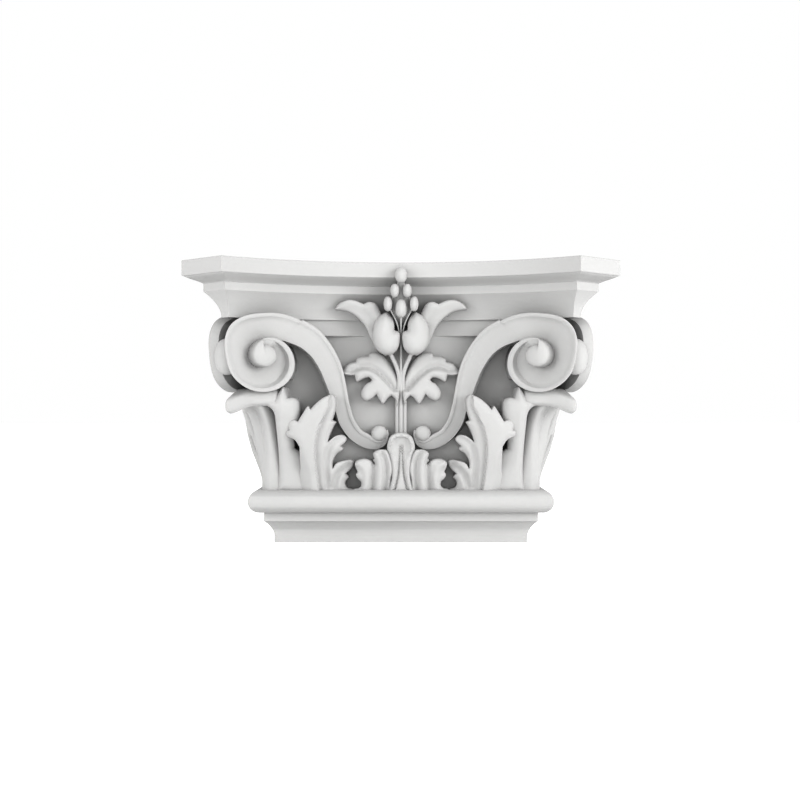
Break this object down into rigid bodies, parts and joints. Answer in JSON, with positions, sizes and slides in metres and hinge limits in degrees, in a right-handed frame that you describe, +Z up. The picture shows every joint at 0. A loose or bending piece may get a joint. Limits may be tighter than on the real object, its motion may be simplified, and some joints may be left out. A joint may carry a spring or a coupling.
{
  "type": "corinthian pilaster capital",
  "caption": "Cast corinthian capital for a flat wall pilaster, with corner scrolls, acanthus leaves and a central flower.",
  "frame": {"origin": "middle of the underside that sits on the pilaster shaft", "axes": "+X to the capital's right as it is looked at from the front, +Y back into the wall, +Z up"},
  "size_m": [0.337, 0.132, 0.22],
  "materials": {
    "plaster": "smooth matt white casting plaster, unpainted"
  },
  "bodies": {
    "root": {"capital": "plaster"}
  },
  "joints": []
}
